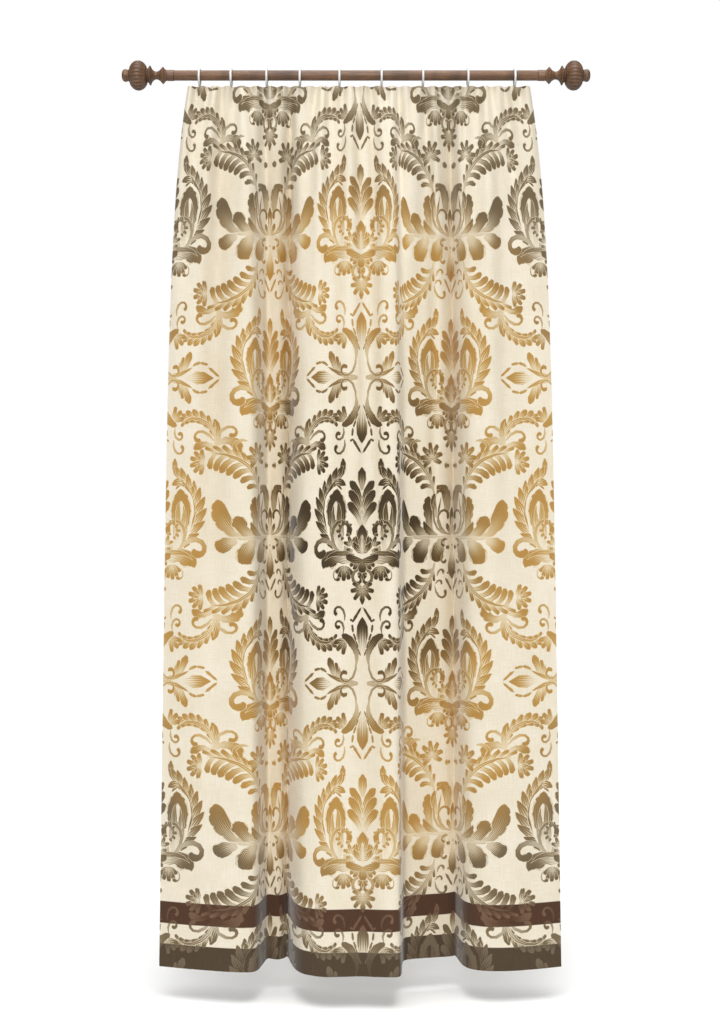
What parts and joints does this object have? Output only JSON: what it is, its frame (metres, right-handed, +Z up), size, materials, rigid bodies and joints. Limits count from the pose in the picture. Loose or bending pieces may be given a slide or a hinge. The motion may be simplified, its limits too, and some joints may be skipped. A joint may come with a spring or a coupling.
{
  "type": "damask curtain gathered on a curtain rod",
  "caption": "Long damask curtain panel gathered on rings along a wooden rod with turned finials, hanging in soft uneven folds above two dark bands at its hem.",
  "frame": {"origin": "middle of the rod's axis, half way along it, where the wall brackets hold the rod up", "axes": "+X along the rod to the right as the curtain is looked at, +Y back towards the wall, +Z up"},
  "size_m": [1.3022, 0.1907, 2.522],
  "materials": {
    "damask_cloth": "slubby woven ivory cloth with a gold, brown and grey-brown damask and two dark bands at the hem",
    "rod_wood": "turned and waxed brown wood, darker in the grain and the grooves",
    "ring_plastic": "plain white, softly polished"
  },
  "bodies": {
    "root": {"curtain_cloth": "damask_cloth", "rod": "rod_wood", "finial_left": "rod_wood", "finial_right": "rod_wood", "ring_1": "ring_plastic", "ring_2": "ring_plastic", "ring_3": "ring_plastic", "ring_4": "ring_plastic", "ring_5": "ring_plastic", "ring_6": "ring_plastic", "ring_7": "ring_plastic", "ring_8": "ring_plastic", "ring_9": "ring_plastic"}
  },
  "joints": []
}
